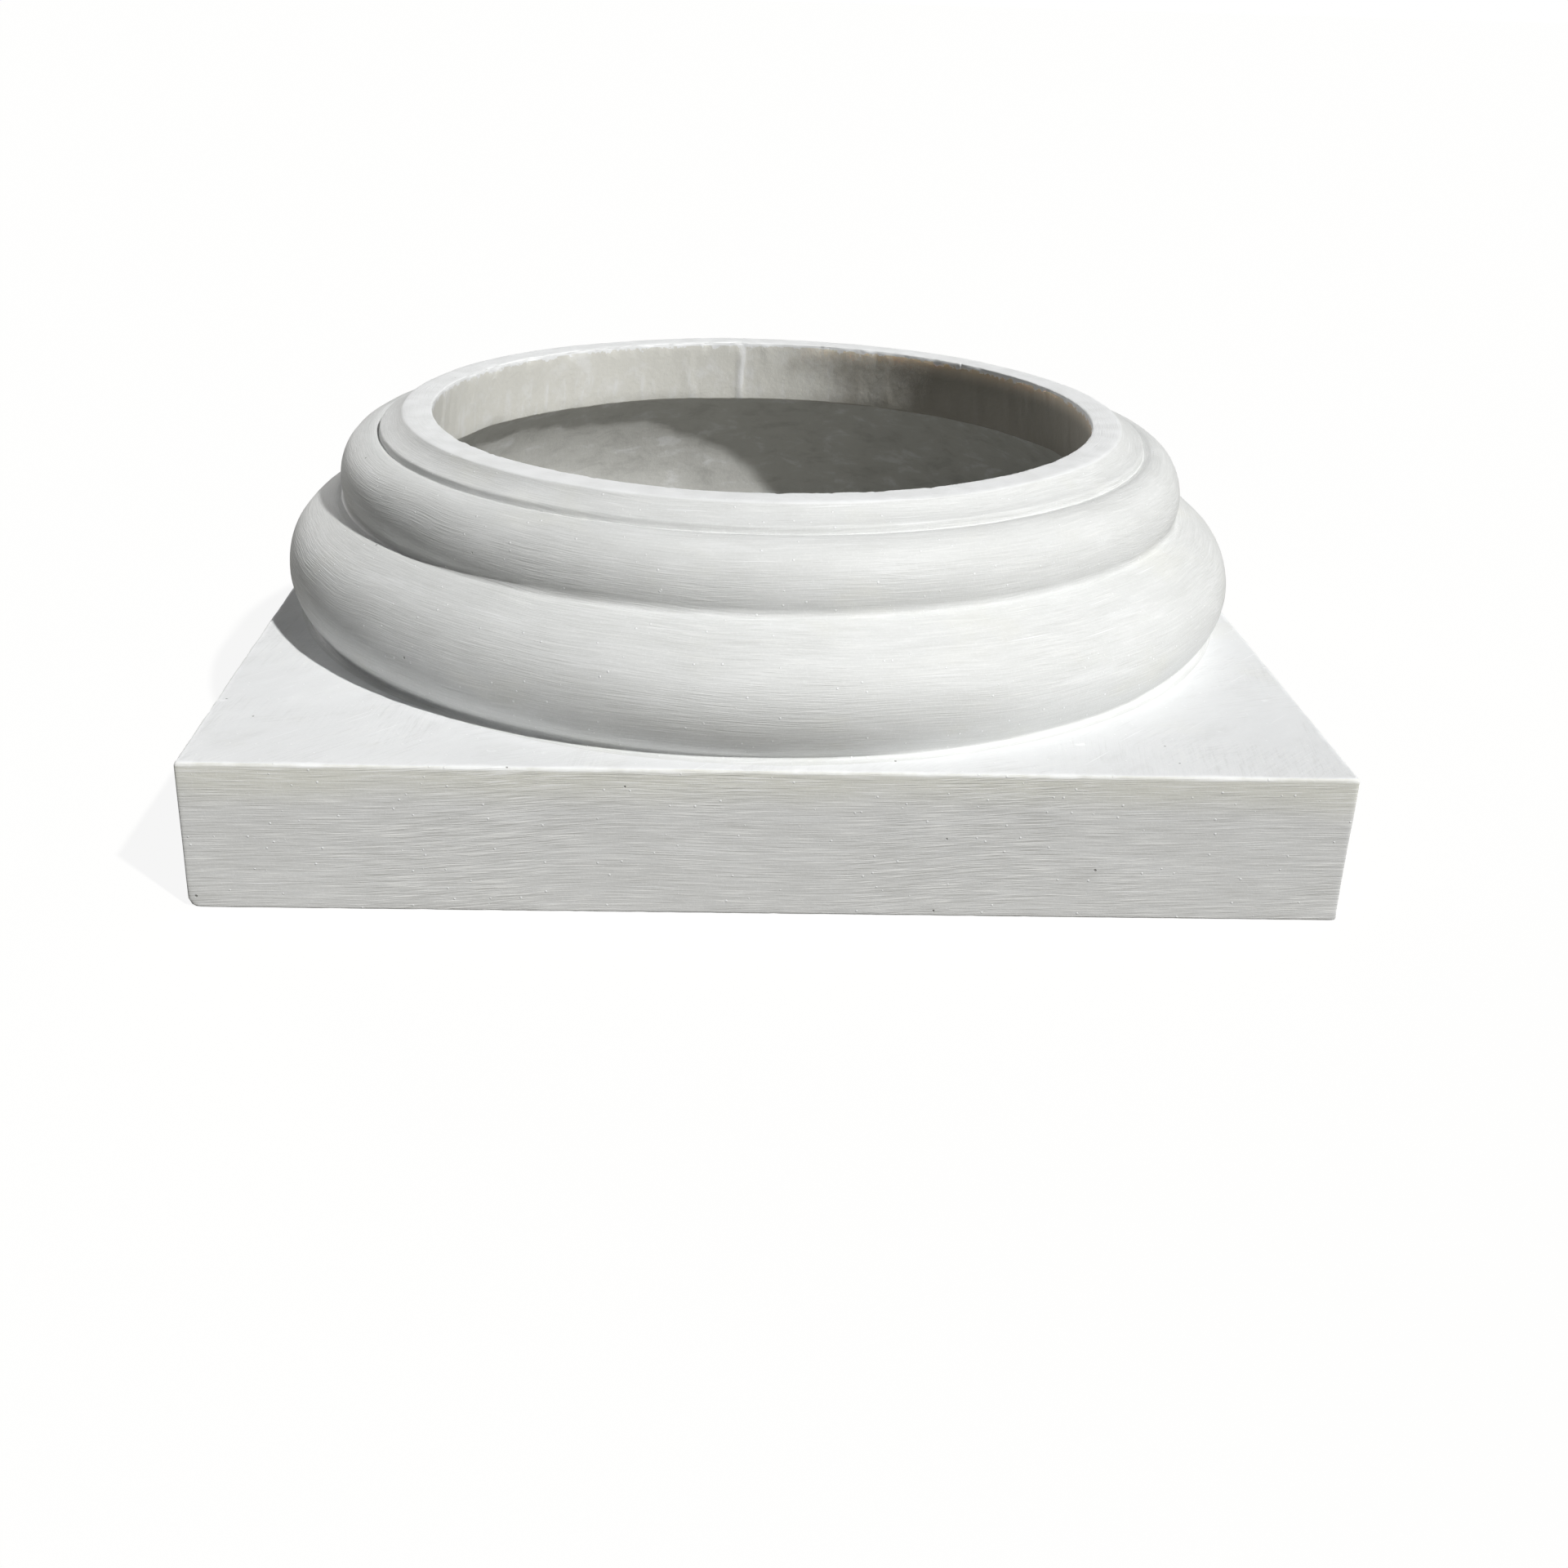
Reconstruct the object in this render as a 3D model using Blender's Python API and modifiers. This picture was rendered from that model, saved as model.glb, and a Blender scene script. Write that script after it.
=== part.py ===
"""Column base: a square plinth carrying two turned torus mouldings and a thin collar, cast hollow in one piece.

The round part is laid out from the shaft opening outwards and from the ground upwards, so that every
moulding starts where the one before it ends. +Z is up, the origin is the middle of the underside, and
the front of the plinth faces -Y. All sizes are in metres.
"""

import math

import bmesh
import bpy

# Shaft opening and rim
OPENING_RADIUS = 0.1225
RIM_WIDTH = 0.0105
COLLAR_DEPTH = 0.0260
COLLAR_DRAFT = 0.0035

# Cavetto and fillet under the rim
CAVETTO_PROJECTION = 0.0073
CAVETTO_HEIGHT = 0.0072
TOP_FILLET_HEIGHT = 0.0019
GROOVE_WIDTH = 0.0012
GROOVE_DEPTH = 0.0005

# Upper torus: half an ellipse in section, turned under by a small angle at its foot
UPPER_TORUS_PROJECTION = 0.0148
UPPER_TORUS_HALF_HEIGHT = 0.0138
UPPER_TORUS_TUCK = math.radians(20)
UPPER_COVE_HEIGHT = 0.0020
UPPER_COVE_FLARE = 0.0024

# Ledge and fillet between the two toruses
LEDGE_WIDTH = 0.0020
LEDGE_FALL = 0.0002
MIDDLE_FILLET_HEIGHT = 0.0019

# Lower torus
LOWER_TORUS_RADIAL_SEMI = 0.0263
LOWER_TORUS_HALF_HEIGHT = 0.0235
LOWER_TORUS_SHOULDER = math.radians(68.4)
LOWER_TORUS_TUCK = math.radians(35)
LOWER_COVE_HEIGHT = 0.0030
LOWER_COVE_FLARE = 0.0016
COVE_LIP = 0.0004

# Plinth
PLINTH_HEIGHT = 0.0486
PLINTH_MARGIN = 0.0011
ARRIS_BEVEL = 0.0008

# Hollow inside: a small step under the collar, a curved flare, then a plumb wall down to the foot
INNER_STEP = 0.0020
FLARE_DEPTH = 0.0730
FOOT_WALL = 0.0215

# Facets
TURNED_SEGMENTS = 96
TORUS_STEPS = 10
CAVETTO_STEPS = 5
COVE_STEPS = 3
FLARE_STEPS = 5
BEVEL_SEGMENTS = 2

# How far the pieces that a Boolean joins or cuts run past each other
EMBED = 0.012
CUT_PAST = 0.010

STONE_COLOUR = (0.66, 0.665, 0.65, 1.0)
STONE_ROUGHNESS = 0.62

# Heights, from the ground up
LOWER_NECK_Z = PLINTH_HEIGHT + COVE_LIP + LOWER_COVE_HEIGHT
LOWER_TORUS_Z = LOWER_NECK_Z + LOWER_TORUS_HALF_HEIGHT * math.sin(LOWER_TORUS_TUCK)
SHOULDER_Z = LOWER_TORUS_Z + LOWER_TORUS_HALF_HEIGHT * math.sin(LOWER_TORUS_SHOULDER)
LEDGE_Z = SHOULDER_Z + MIDDLE_FILLET_HEIGHT
UPPER_NECK_Z = LEDGE_Z + LEDGE_FALL + UPPER_COVE_HEIGHT
UPPER_TORUS_Z = UPPER_NECK_Z + UPPER_TORUS_HALF_HEIGHT * math.sin(UPPER_TORUS_TUCK)
UPPER_TORUS_TOP_Z = UPPER_TORUS_Z + UPPER_TORUS_HALF_HEIGHT
FILLET_TOP_Z = UPPER_TORUS_TOP_Z + TOP_FILLET_HEIGHT
RIM_Z = FILLET_TOP_Z + CAVETTO_HEIGHT
INNER_LEDGE_Z = RIM_Z - COLLAR_DEPTH
FLARE_FOOT_Z = INNER_LEDGE_Z - FLARE_DEPTH

# Radii, from the opening outwards
RIM_RADIUS = OPENING_RADIUS + RIM_WIDTH
FILLET_RADIUS = RIM_RADIUS + CAVETTO_PROJECTION
UPPER_TORUS_RADIUS = FILLET_RADIUS + GROOVE_WIDTH
UPPER_NECK_RADIUS = UPPER_TORUS_RADIUS + UPPER_TORUS_PROJECTION * math.cos(UPPER_TORUS_TUCK)
LEDGE_RADIUS = UPPER_NECK_RADIUS + UPPER_COVE_FLARE + LEDGE_WIDTH
LOWER_TORUS_RADIUS = LEDGE_RADIUS - LOWER_TORUS_RADIAL_SEMI * math.cos(LOWER_TORUS_SHOULDER)
LOWER_NECK_RADIUS = LOWER_TORUS_RADIUS + LOWER_TORUS_RADIAL_SEMI * math.cos(LOWER_TORUS_TUCK)
COVE_FOOT_RADIUS = LOWER_NECK_RADIUS + LOWER_COVE_FLARE
WIDEST_RADIUS = LOWER_TORUS_RADIUS + LOWER_TORUS_RADIAL_SEMI
PLINTH_WIDTH = 2 * (WIDEST_RADIUS + PLINTH_MARGIN)
COLLAR_FOOT_RADIUS = OPENING_RADIUS + COLLAR_DRAFT
HOLLOW_TOP_RADIUS = COLLAR_FOOT_RADIUS + INNER_STEP
HOLLOW_FOOT_RADIUS = PLINTH_WIDTH / 2 - FOOT_WALL


def clear_scene():
    for obj in list(bpy.data.objects):
        bpy.data.objects.remove(obj, do_unlink=True)


def collection_named(name):
    group = bpy.data.collections.new(name)
    bpy.context.scene.collection.children.link(group)
    return group


def elliptic_arc(centre, semi_axes, start, end, steps):
    """Points (radius, height) on an ellipse from one angle to another, both ends included."""
    points = []
    for step in range(steps + 1):
        angle = start + (end - start) * step / steps
        radius = centre[0] + semi_axes[0] * math.cos(angle)
        height = centre[1] + semi_axes[1] * math.sin(angle)
        points.append((radius, height))
    return points


def cavetto():
    """The hollow quarter round that falls from the rim and flares out to the fillet's edge."""
    return elliptic_arc(
        (FILLET_RADIUS, RIM_Z),
        (CAVETTO_PROJECTION, CAVETTO_HEIGHT),
        math.pi,
        math.pi * 1.5,
        CAVETTO_STEPS,
    )


def upper_torus():
    return elliptic_arc(
        (UPPER_TORUS_RADIUS, UPPER_TORUS_Z),
        (UPPER_TORUS_PROJECTION, UPPER_TORUS_HALF_HEIGHT),
        math.pi / 2,
        -UPPER_TORUS_TUCK,
        TORUS_STEPS,
    )


def lower_torus():
    return elliptic_arc(
        (LOWER_TORUS_RADIUS, LOWER_TORUS_Z),
        (LOWER_TORUS_RADIAL_SEMI, LOWER_TORUS_HALF_HEIGHT),
        LOWER_TORUS_SHOULDER,
        -LOWER_TORUS_TUCK,
        TORUS_STEPS,
    )


def cove(neck_radius, neck_z, flare, height):
    """The small hollow that turns a torus's neck outwards onto the surface below it."""
    quarter = elliptic_arc(
        (neck_radius + flare, neck_z), (flare, height), math.pi, math.pi * 1.5, COVE_STEPS
    )
    return quarter[1:]


def moulding_profile():
    """The turned outside from the axis over the rim and down into the plinth, as (radius, height)."""
    profile = [(0.0, RIM_Z)]
    profile += cavetto()
    profile += [(FILLET_RADIUS, UPPER_TORUS_TOP_Z - GROOVE_DEPTH)]
    profile += upper_torus()
    profile += cove(UPPER_NECK_RADIUS, UPPER_NECK_Z, UPPER_COVE_FLARE, UPPER_COVE_HEIGHT)
    profile += [(LEDGE_RADIUS, LEDGE_Z)]
    profile += lower_torus()
    profile += cove(LOWER_NECK_RADIUS, LOWER_NECK_Z, LOWER_COVE_FLARE, LOWER_COVE_HEIGHT)
    profile += [(COVE_FOOT_RADIUS, PLINTH_HEIGHT - EMBED), (0.0, PLINTH_HEIGHT - EMBED)]
    return profile


def flare():
    """The round flare of the hollow, from under the collar down to where its wall is plumb."""
    widening = HOLLOW_FOOT_RADIUS - HOLLOW_TOP_RADIUS
    radius = (widening ** 2 + FLARE_DEPTH ** 2) / (2 * widening)
    turn = 2 * math.atan2(widening, FLARE_DEPTH)
    return elliptic_arc(
        (HOLLOW_FOOT_RADIUS - radius, FLARE_FOOT_Z), (radius, radius), turn, 0.0, FLARE_STEPS
    )


def hollow_profile():
    """The inside from above the rim: a drafted collar, a small step out, a flare and a plumb foot."""
    draft = COLLAR_DRAFT / COLLAR_DEPTH
    profile = [
        (0.0, RIM_Z + CUT_PAST),
        (OPENING_RADIUS - draft * CUT_PAST, RIM_Z + CUT_PAST),
        (COLLAR_FOOT_RADIUS, INNER_LEDGE_Z),
    ]
    profile += flare()
    profile += [(HOLLOW_FOOT_RADIUS, -CUT_PAST), (0.0, -CUT_PAST)]
    return profile


def turned_solid(name, profile, group):
    """A profile at +X, listed from the top down, turned round the Z axis into a closed solid."""
    mesh = bpy.data.meshes.new(name)
    vertices = [(radius, 0.0, height) for radius, height in profile]
    edges = [(index, index + 1) for index in range(len(vertices) - 1)]
    mesh.from_pydata(vertices, edges, [])
    obj = bpy.data.objects.new(name, mesh)
    group.objects.link(obj)
    turn = obj.modifiers.new("Turn", "SCREW")
    turn.axis = "Z"
    turn.angle = 2 * math.pi
    turn.steps = TURNED_SEGMENTS
    turn.render_steps = TURNED_SEGMENTS
    turn.use_merge_vertices = True
    turn.merge_threshold = 0.00005
    obj.hide_render = True
    obj.display_type = "WIRE"
    return obj


def plinth(name, group):
    """The square slab, with its arrises just eased."""
    mesh = bpy.data.meshes.new(name)
    form = bmesh.new()
    bmesh.ops.create_cube(form, size=1.0)
    bmesh.ops.scale(form, vec=(PLINTH_WIDTH, PLINTH_WIDTH, PLINTH_HEIGHT), verts=form.verts)
    bmesh.ops.translate(form, vec=(0.0, 0.0, PLINTH_HEIGHT / 2), verts=form.verts)
    form.to_mesh(mesh)
    form.free()
    obj = bpy.data.objects.new(name, mesh)
    group.objects.link(obj)
    ease = obj.modifiers.new("Eased arrises", "BEVEL")
    ease.width = ARRIS_BEVEL
    ease.segments = BEVEL_SEGMENTS
    return obj


def add_boolean(obj, operand, operation):
    modifier = obj.modifiers.new(operand.name, "BOOLEAN")
    modifier.operation = operation
    modifier.object = operand
    modifier.solver = "EXACT"


def bake(obj):
    """The object's modifiers worked into its mesh, with its round faces shaded smooth."""
    depsgraph = bpy.context.evaluated_depsgraph_get()
    mesh = bpy.data.meshes.new_from_object(obj.evaluated_get(depsgraph))
    obj.modifiers.clear()
    obj.data = mesh
    mesh.shade_smooth()
    mesh.set_sharp_from_angle(angle=math.radians(30))


def cast_stone():
    material = bpy.data.materials.new("sanded cast stone")
    material.use_nodes = True
    shader = material.node_tree.nodes["Principled BSDF"]
    shader.inputs["Base Color"].default_value = STONE_COLOUR
    shader.inputs["Roughness"].default_value = STONE_ROUGHNESS
    shader.inputs["Metallic"].default_value = 0.0
    return material


def build():
    clear_scene()
    parts = collection_named("Column base")
    cutters = collection_named("Turning profiles")
    mouldings = turned_solid("mouldings", moulding_profile(), cutters)
    hollow = turned_solid("hollow", hollow_profile(), cutters)
    base = plinth("column_base", parts)
    add_boolean(base, mouldings, "UNION")
    add_boolean(base, hollow, "DIFFERENCE")
    bake(base)
    base.data.materials.clear()
    base.data.materials.append(cast_stone())


build()
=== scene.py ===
import math
from collections import namedtuple

import bpy
from bpy.props import FloatProperty, FloatVectorProperty, IntProperty, PointerProperty
from mathutils import Matrix, Vector


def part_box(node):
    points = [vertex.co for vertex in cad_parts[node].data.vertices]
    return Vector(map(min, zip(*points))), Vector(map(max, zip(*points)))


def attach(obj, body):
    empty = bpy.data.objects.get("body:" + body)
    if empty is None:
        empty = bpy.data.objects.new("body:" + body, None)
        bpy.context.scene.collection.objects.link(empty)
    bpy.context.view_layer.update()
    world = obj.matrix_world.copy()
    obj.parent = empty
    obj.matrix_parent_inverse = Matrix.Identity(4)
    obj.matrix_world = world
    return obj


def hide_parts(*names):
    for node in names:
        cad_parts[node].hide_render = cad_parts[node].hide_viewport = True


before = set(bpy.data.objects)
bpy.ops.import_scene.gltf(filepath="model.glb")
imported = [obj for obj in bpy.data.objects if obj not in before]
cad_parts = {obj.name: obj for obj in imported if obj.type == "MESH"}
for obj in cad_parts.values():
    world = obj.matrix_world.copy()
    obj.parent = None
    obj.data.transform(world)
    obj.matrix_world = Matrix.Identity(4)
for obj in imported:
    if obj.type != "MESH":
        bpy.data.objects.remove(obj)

# The column base is one casting of marble-filled resin: a square plinth, two torus mouldings and a
# collar, hollow from top to bottom, sanded by hand outside and left raw from the mould inside.

bl_info = {
    "name": "Cast column base",
    "version": (1, 0, 0),
    "blender": (4, 5, 0),
    "location": "3D View > Sidebar > Column base",
    "description": "Makes the sanded casting of a classical column base and a studio to show it in",
    "category": "Add Mesh",
}

CASTING_NODE = "column_base"
BODY = "root"
MM = 0.001

LOW_CORNER, HIGH_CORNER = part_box(CASTING_NODE)
PLINTH_WIDTH = HIGH_CORNER[0] - LOW_CORNER[0]
HEIGHT = HIGH_CORNER[2] - LOW_CORNER[2]

# One point of the section that is turned round the axis. ease is how far the corner there is rounded
# off, square is 0 on a turned ring and 1 on the square plinth, wear is how badly the edge is chipped,
# and part says which surface the stretch up to this point belongs to.
Station = namedtuple("Station", "radius height ease square wear part")

TURNED, PLINTH_TOP, PLINTH_SIDE, COLLAR, RAW = range(5)
PART_FLAGS = {"plinth_top": (PLINTH_TOP,), "plinth_side": (PLINTH_SIDE,), "raw_inside": (COLLAR, RAW)}


def length(name, default, text):
    """A property for a length in metres."""
    return FloatProperty(name=name, description=text, default=default, min=0.0, unit="LENGTH", precision=5)


def colour(name, default, text):
    """A property for a colour, whose default is an sRGB hex value."""
    return FloatVectorProperty(
        name=name, description=text, default=linear(default), size=4, subtype="COLOR", min=0.0, max=1.0
    )


def linear(code):
    """An sRGB hex colour such as '#C3C3C1' as linear red, green and blue, and an alpha of one."""
    channels = [int(code[place:place + 2], 16) / 255 for place in (1, 3, 5)]
    return (*[c / 12.92 if c <= 0.04045 else ((c + 0.055) / 1.055) ** 2.4 for c in channels], 1.0)


class ColumnBaseSizes(bpy.types.PropertyGroup):
    """Sizes of the section, from the shaft's opening outwards and from the rim down"""

    opening_radius: length("Opening radius", 0.1225, "Radius of the hole that the shaft passes through")
    rim_width: length("Rim width", 0.0105, "Width of the flat ring round the opening")
    rim_ease: length("Rim easing", 0.0011, "How far the rim's corners are rounded off")
    collar_depth: length("Collar depth", 0.0260, "Height of the collar's inner wall")
    collar_draft: length("Collar draft", 0.0035, "How much wider the collar's inner wall is at its foot")
    cavetto_projection: length("Cavetto projection", 0.0084, "How far the hollow under the rim flares")
    cavetto_height: length("Cavetto height", 0.0054, "Height of the hollow under the rim")
    fillet_height: length("Top fillet height", 0.0019, "Height of the flat band under the cavetto")
    groove_width: length("Groove width", 0.0012, "Width of the groove above the upper torus")
    groove_depth: length("Groove depth", 0.0008, "Depth of the groove above the upper torus")
    upper_torus_projection: length("Upper torus projection", 0.0137, "Upper torus, half width")
    upper_torus_crown: length("Upper torus crown", 0.0156, "Upper torus, height above its widest point")
    upper_torus_half_height: length("Upper torus half height", 0.0138, "Upper torus, half height")
    scotia_flare: length("Scotia flare", 0.0013, "How far the hollow between the toruses flares")
    scotia_height: length("Scotia height", 0.0022, "Height of the hollow between the toruses")
    shoulder_width: length("Shoulder width", 0.0022, "Width of the flat shoulder above the lower torus")
    lower_torus_projection: length("Lower torus projection", 0.0263, "Lower torus, half width")
    lower_torus_half_height: length("Lower torus half height", 0.0235, "Lower torus, half height")
    lower_torus_inset: length("Lower torus inset", 0.0053, "How far its centre lies inside the neck above it")
    cove_flare: length("Cove flare", 0.0023, "How far the foot of the lower torus flares")
    cove_height: length("Cove height", 0.0014, "Height of the hollow at the foot of the lower torus")
    skirt: length("Skirt", 0.0008, "Width of the thin sanded skirt of resin round that foot")
    plinth_height: length("Plinth height", 0.0486, "Height of the square slab")
    arris_ease: length("Arris easing", 0.0012, "How far the plinth's edges are rounded off")
    inner_step: length("Inner step", 0.0020, "How much wider the hollow is just below the collar")
    flare_depth: length("Flare depth", 0.0730, "Height over which the hollow widens to its foot")
    foot_wall: length("Foot wall", 0.0215, "Thickness of the plinth's wall where it stands")


class ColumnBaseWear(bpy.types.PropertyGroup):
    """How far the hand-finished surface departs from the true section"""

    waviness: length("Waviness", 0.00024, "Height of the slow waves that hand sanding leaves")
    chipping: length("Chipping", 0.0011, "Depth of the chips along the edges")
    crumbs: length("Crumbs", 0.0026, "How far the white crumbled edge reaches down the collar's inner wall")
    drip_height: length("Drip height", 0.0005, "Height of the resin drips on the collar's inner wall")
    seam_height: length("Seam height", 0.0006, "Height of the mould seam at the back of the collar")
    roughness: length("Raw roughness", 0.0010, "Unevenness of the raw hollow")
    knock: length("Knocked corner", 0.0009, "Depth of the knock at the plinth's front left corner")
    segments: IntProperty(name="Segments", description="Steps round the axis", default=640, min=64)


class ColumnBaseColours(bpy.types.PropertyGroup):
    """Colours of the resin, of its stains, of the painted shade, glow and highlights on it, and of the studio
    """

    sanded: colour("Sanded resin", "#DDDEDD", "Sanded mouldings")
    # The plinth top is lighter than the other sanded resin, partly as painted light on its upward face.
    top: colour("Sanded top", "#EAEBEC", "Plinth top")
    side: colour("Sanded side", "#DCDCDB", "Plinth's sides, sanded with a coarser paper")
    scratch: colour("Scratch", "#F3F3F1", "Powdery scratch left by the abrasive")
    furrow: colour("Furrow", "#BDBDB9", "Dust-free furrow beside a scratch")
    tint: colour("Warm tint", "#E1E0D3", "Yellower resin where the skin was sanded through")
    # Chalk also paints highlights and painted light: on the rim, along the arrises and round the foot of the
    # lower torus.
    chalk: colour("Chalk", "#FAFBFC", "Chalky patch, crumb and speck")
    pinhole: colour("Pinhole", "#6E6D68", "Dusty bubble hole")
    raw: colour("Raw resin", "#E7E6DF", "Cast skin inside the collar")
    hollow: colour("Hollow", "#DBDBD7", "Cast skin deep in the hollow")
    # The next two colours tint the right of the collar's inner wall, which faces away from the key light:
    # brown staining, painted darker low down as shade and lighter just under the rim as a glow.
    painted_shade_low: colour("Soot", "#9A948A", "Grey stain low on the right of the collar's inner wall")
    stain_and_painted_light: colour("Stain", "#DCD0BE", "Brown stain at the right of the collar's inner wall")
    floor: colour("Floor", "#FCFCFC", "Studio floor")
    floor_bounce: colour("Floor bounce", "#878682", "What the floor throws back at the object")


# The nodes used most: each one's type, its settings, the inputs that its values fill in order (all of its
# inputs where none are named) and the output that is read (all of them where it is None). A noise has waves
# 1 / scale metres long. A fade moves a value smoothly from one range to another and holds it at the ends.
Node = namedtuple("Node", "type settings inputs output", defaults=({}, None, 0))
NODES = {
    "noise": Node("ShaderNodeTexNoise", inputs=("Vector", "Scale", "Detail", "Roughness", "Distortion")),
    "mapping": Node("ShaderNodeMapping", inputs=("Vector", "Scale", "Rotation", "Location")),
    "fade": Node("ShaderNodeMapRange", {"interpolation_type": "SMOOTHSTEP"}),
    "blend": Node("ShaderNodeMix", {"data_type": "RGBA"}, (0, 6, 7), 2),
    "attribute": Node("GeometryNodeInputNamedAttribute", {"data_type": "FLOAT"}),
    "parts": Node("ShaderNodeSeparateXYZ", output=None),
}
# The words that stand for a Math node, each with its operation.
SUMS = {
    "plus": "ADD", "minus": "SUBTRACT", "times": "MULTIPLY", "over": "DIVIDE", "times plus": "MULTIPLY_ADD",
    "power": "POWER", "size": "ABSOLUTE", "larger": "MAXIMUM", "smaller": "MINIMUM", "cosine": "COSINE",
    "sine": "SINE", "bearing": "ARCTAN2",
}
NODES.update((word, Node("ShaderNodeMath", {"operation": kind})) for word, kind in SUMS.items())


def add(tree, kind, *values, **settings):
    """Adds a node, applies its settings, then fills its inputs with links or values.

    kind is a word from NODES, which gives the node's one output, or else a node's type, which gives all of
    its outputs. The values fill the inputs in order, or by name or number where they are one dictionary.
    """
    known = NODES.get(kind, Node(kind, output=None))
    made = tree.nodes.new(known.type)
    made.location = (220 * (len(tree.nodes) % 12), -260 * (len(tree.nodes) // 12))
    for name, value in {**known.settings, **settings}.items():
        setattr(made, name, value)
    named = values[0] if values and isinstance(values[0], dict) else None
    for key, value in (named or dict(zip(known.inputs or range(len(values)), values))).items():
        if isinstance(value, bpy.types.NodeSocket):
            tree.links.new(value, made.inputs[key])
        else:
            made.inputs[key].default_value = value
    return made.outputs if known.output is None else made.outputs[known.output]


def eased(stations, steps):
    """The section with each corner that has an ease replaced by a short curve, then closed."""
    section = []
    for index, station in enumerate(stations):
        if not station.ease:
            section.append(station)
            continue
        before = stations[index - 1]
        after = stations[(index + 1) % len(stations)]
        start = toward(station, before, station.ease)
        end = toward(station, after, station.ease)
        corner = (station.radius, station.height)
        for step, (radius, height) in enumerate(bent(start, corner, end, steps)):
            part = station.part if step * 2 <= steps else after.part
            section.append(station._replace(radius=radius, height=height, part=part))
    return section


def bent(start, corner, end, steps):
    """Points on the curve that leaves one point towards the corner and comes to the other from it."""
    points = []
    for step in range(steps + 1):
        t = step / steps
        radius = (1 - t) ** 2 * start[0] + 2 * t * (1 - t) * corner[0] + t ** 2 * end[0]
        height = (1 - t) ** 2 * start[1] + 2 * t * (1 - t) * corner[1] + t ** 2 * end[1]
        points.append((radius, height))
    return points


def toward(station, other, distance):
    """The point that lies a distance from one station in the direction of another."""
    dr = other.radius - station.radius
    dz = other.height - station.height
    share = min(0.45, distance / math.hypot(dr, dz))
    return station.radius + dr * share, station.height + dz * share


def spaced(section, longest):
    """The section with points added so that no stretch is longer than its part allows."""
    filled = []
    for index, station in enumerate(section):
        after = section[(index + 1) % len(section)]
        filled.append(station)
        run = math.hypot(after.radius - station.radius, after.height - station.height)
        pieces = math.ceil(run / longest[after.part] - 0.01)
        for piece in range(1, pieces):
            t = piece / pieces
            filled.append(after._replace(
                radius=station.radius + (after.radius - station.radius) * t,
                height=station.height + (after.height - station.height) * t,
                square=station.square + (after.square - station.square) * t,
                wear=0.0,
            ))
    return filled


def cos_degrees(angle):
    return math.cos(math.radians(angle))


def sin_degrees(angle):
    return math.sin(math.radians(angle))


def elliptic_arc(centre, semi_axes, start, end, steps, part=TURNED):
    """Stations on an ellipse from one angle to another, both ends included."""
    stations = []
    for step in range(steps + 1):
        angle = math.radians(start + (end - start) * step / steps)
        radius = centre[0] + semi_axes[0] * math.cos(angle)
        height = centre[1] + semi_axes[1] * math.sin(angle)
        stations.append(Station(radius, height, 0.0, 0.0, 0.0, part))
    return stations


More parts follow.
